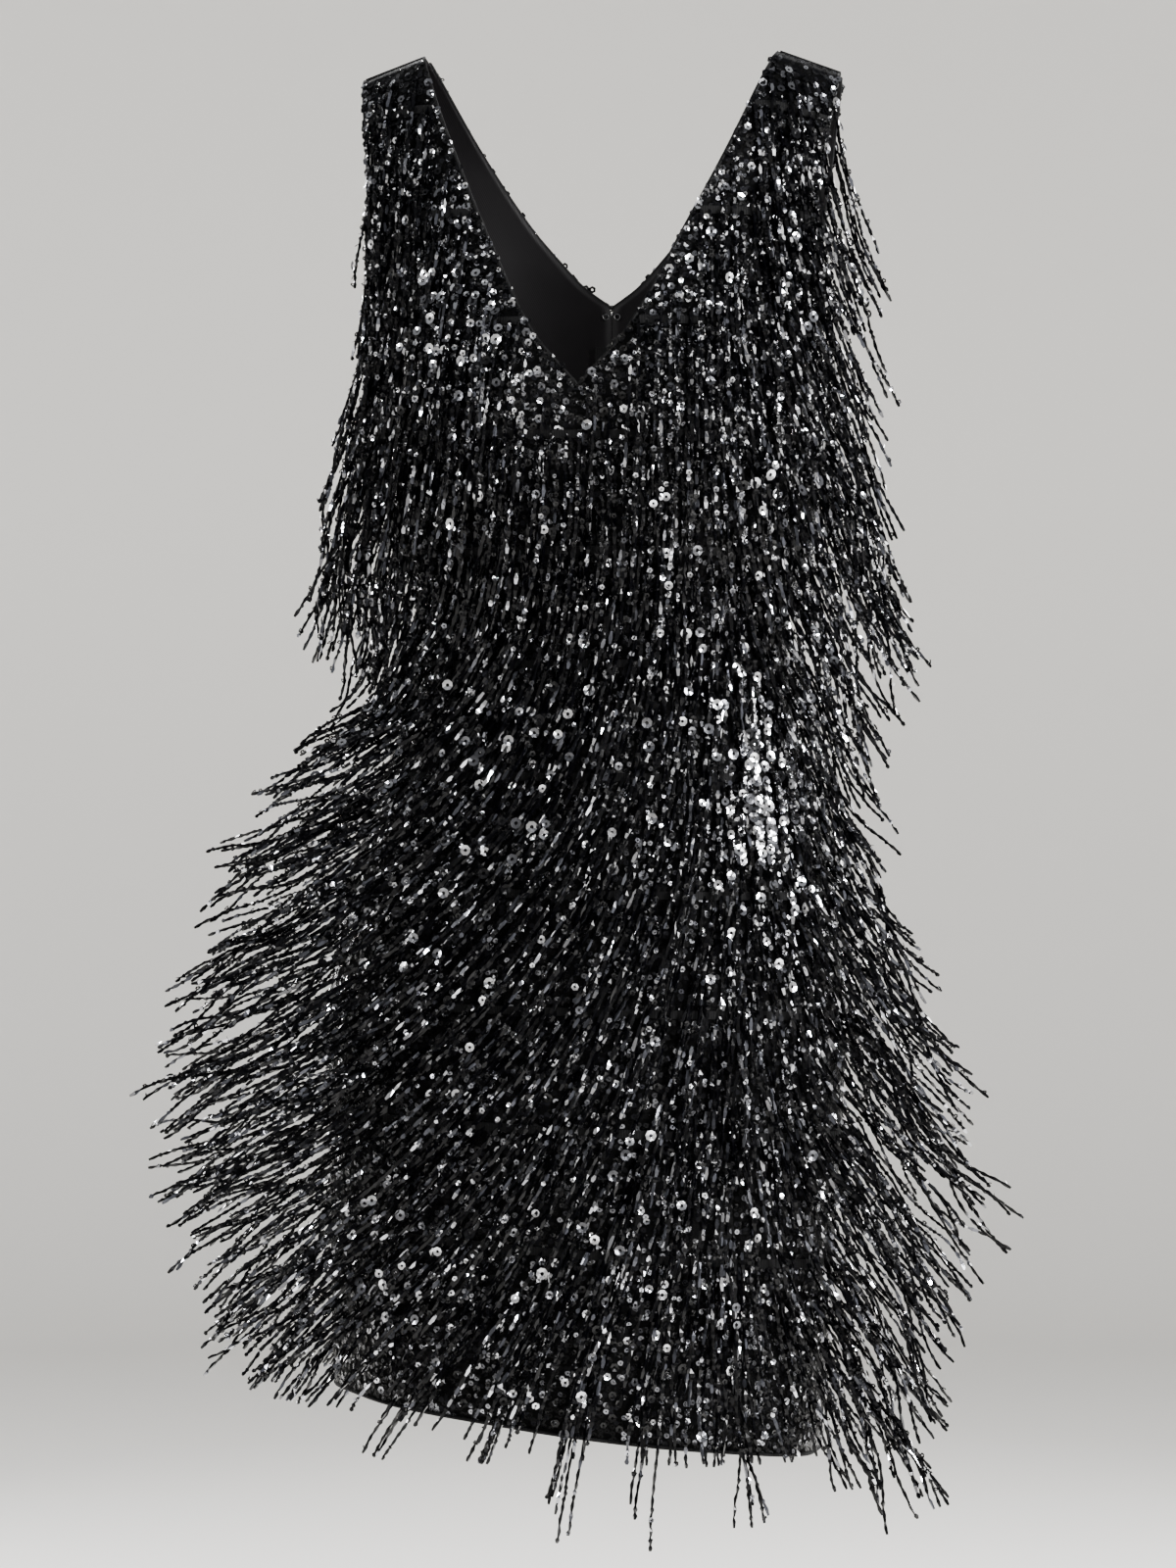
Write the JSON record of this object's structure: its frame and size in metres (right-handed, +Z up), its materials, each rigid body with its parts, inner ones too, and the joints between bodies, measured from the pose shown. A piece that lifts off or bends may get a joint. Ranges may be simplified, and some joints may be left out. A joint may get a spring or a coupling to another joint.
{
  "type": "sequin fringe mini dress",
  "caption": "Sleeveless V-neck mini dress, filled out and hollow, with rows of beaded fringe that swing off a fitted body.",
  "frame": {"origin": "between the two shoulder seams, at the height of their neck ends, where the wearer's shoulders hold it", "axes": "+Z up, +Y towards the back of the dress, +X to the right of someone looking at its front"},
  "size_m": [0.5451, 0.2545, 0.9178],
  "materials": {
    "sequin_cloth": "black net sewn all over with small glossy sequins",
    "lining": "smooth black lining, satin",
    "fringe": "glossy black bugle beads and sequins threaded in strands",
    "zip_pull": "black enamel, satin"
  },
  "bodies": {
    "root": {"front_panel": "sequin_cloth", "back_panel_left": "sequin_cloth", "back_panel_right": "sequin_cloth", "back_lining_left": "lining", "back_lining_right": "lining", "zip_tape": "lining", "zip_pull": "zip_pull", "fringe_01_front_left": "fringe", "fringe_01_front_right": "fringe", "fringe_01_back_left": "fringe", "fringe_01_back_right": "fringe", "fringe_02_front_left": "fringe", "fringe_02_front_right": "fringe", "fringe_02_back_left": "fringe", "fringe_02_back_right": "fringe", "fringe_03_front_left": "fringe", "fringe_03_front_right": "fringe", "fringe_03_back_left": "fringe", "fringe_03_back_right": "fringe", "fringe_04_front": "fringe", "fringe_04_back_left": "fringe", "fringe_04_back_right": "fringe", "fringe_05_front": "fringe", "fringe_05_back_left": "fringe", "fringe_05_back_right": "fringe", "fringe_06_front": "fringe", "fringe_06_back_left": "fringe", "fringe_06_back_right": "fringe", "fringe_07_front": "fringe", "fringe_07_back_left": "fringe", "fringe_07_back_right": "fringe", "fringe_08_front": "fringe", "fringe_08_back_left": "fringe", "fringe_08_back_right": "fringe", "fringe_09_front": "fringe", "fringe_09_back_left": "fringe", "fringe_09_back_right": "fringe", "fringe_10_front": "fringe", "fringe_10_back_left": "fringe", "fringe_10_back_right": "fringe", "fringe_11_front": "fringe", "fringe_11_back_left": "fringe", "fringe_11_back_right": "fringe"}
  },
  "joints": []
}
